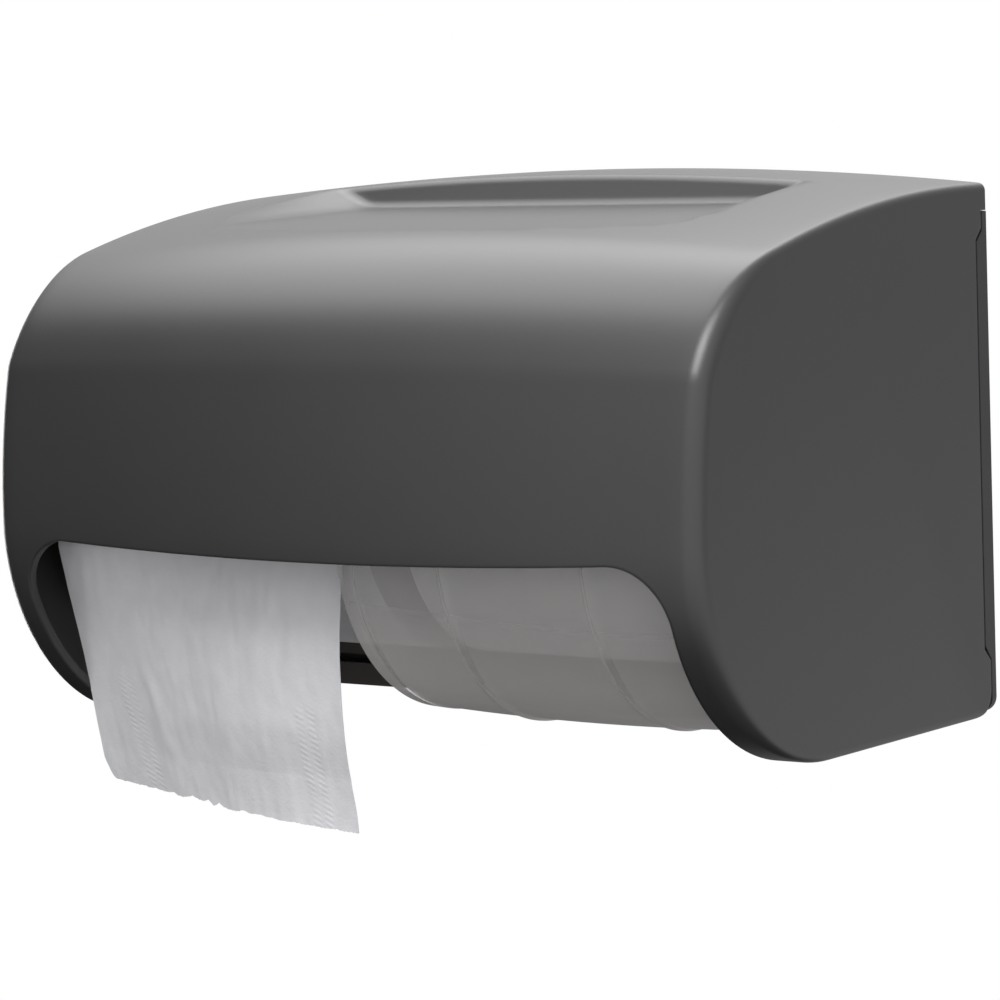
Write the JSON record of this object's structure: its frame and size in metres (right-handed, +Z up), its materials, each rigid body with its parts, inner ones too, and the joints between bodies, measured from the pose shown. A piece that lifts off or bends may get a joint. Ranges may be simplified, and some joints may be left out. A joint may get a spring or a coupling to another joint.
{
  "type": "twin toilet roll dispenser",
  "caption": "Wall-mounted charcoal plastic dispenser for toilet rolls side by side, with a smoke sliding shutter and tissue hanging from the open side.",
  "frame": {"origin": "centre of the wall-screw pattern, on the wall plane", "axes": "+X to the right seen from the front, +Y into the wall, +Z up"},
  "size_m": [0.267, 0.174, 0.1963],
  "materials": {
    "cover_charcoal": "satin",
    "plate_charcoal": "matte",
    "rail_black": "satin",
    "arm_black": "matte",
    "shutter_smoke": "satin",
    "pin_steel": "polished",
    "screw_steel": "satin",
    "spring_steel": "satin",
    "spindle_grey": "satin",
    "core_card": "matte",
    "roll_tissue": "matte",
    "tail_tissue": "matte"
  },
  "bodies": {
    "wall_side": {"back_plate": "plate_charcoal", "hinge_pin_left": "pin_steel", "hinge_pin_right": "pin_steel", "arm_left": "arm_black", "arm_middle": "arm_black", "arm_right": "arm_black", "arm_screws": "screw_steel", "strike": "screw_steel", "strike_screws": "screw_steel", "tissue_tail": "tail_tissue"},
    "cover_side": {"cover": "cover_charcoal", "upper_rail": "rail_black", "lower_rail": "rail_black", "upper_rail_screws": "screw_steel", "lower_rail_screws": "screw_steel", "lock_clip": "screw_steel"},
    "shutter_side": {"shutter": "shutter_smoke"},
    "lock_side": {"lock_cam": "arm_black"},
    "left_roll": {"spindle_sleeve_left": "spindle_grey", "spindle_spring_left": "spring_steel", "core_left": "core_card", "roll_left": "roll_tissue"},
    "left_plunger": {"spindle_plunger_left": "spindle_grey"},
    "right_roll": {"spindle_sleeve_right": "spindle_grey", "spindle_spring_right": "spring_steel", "core_right": "core_card", "roll_right": "roll_tissue"},
    "right_plunger": {"spindle_plunger_right": "spindle_grey"}
  },
  "joints": [
    {"name": "cover_hinge", "type": "hinge", "parent": "wall_side", "child": "cover_side", "pos_m": [0, -0.0115, -0.0754], "axis": [1, 0, 0], "range_deg": [0, 90]},
    {"name": "shutter_slide", "type": "slide", "parent": "cover_side", "child": "shutter_side", "axis": [1, 0, 0], "range_m": [-0.1213, 0], "deforming": ["tissue_tail"]},
    {"name": "key_turn", "type": "hinge", "parent": "cover_side", "child": "lock_side", "pos_m": [-0.1265, -0.022, 0.064], "axis": [1, 0, 0], "range_deg": [-90, 0]},
    {"name": "left_roll_spin", "type": "hinge", "parent": "wall_side", "child": "left_roll", "pos_m": [-0.065, -0.0895, -0.0075], "axis": [1, 0, 0], "continuous": true},
    {"name": "left_plunger_slide", "type": "slide", "parent": "left_roll", "child": "left_plunger", "axis": [-1, 0, 0], "range_m": [0, 0.006], "stiffness_N_per_m": 400, "springref_m": -0.01, "deforming": ["spindle_spring_left"]},
    {"name": "right_roll_spin", "type": "hinge", "parent": "wall_side", "child": "right_roll", "pos_m": [0.065, -0.0895, -0.0075], "axis": [1, 0, 0], "continuous": true},
    {"name": "right_plunger_slide", "type": "slide", "parent": "right_roll", "child": "right_plunger", "axis": [1, 0, 0], "range_m": [0, 0.006], "stiffness_N_per_m": 400, "springref_m": -0.01, "deforming": ["spindle_spring_right"]}
  ]
}
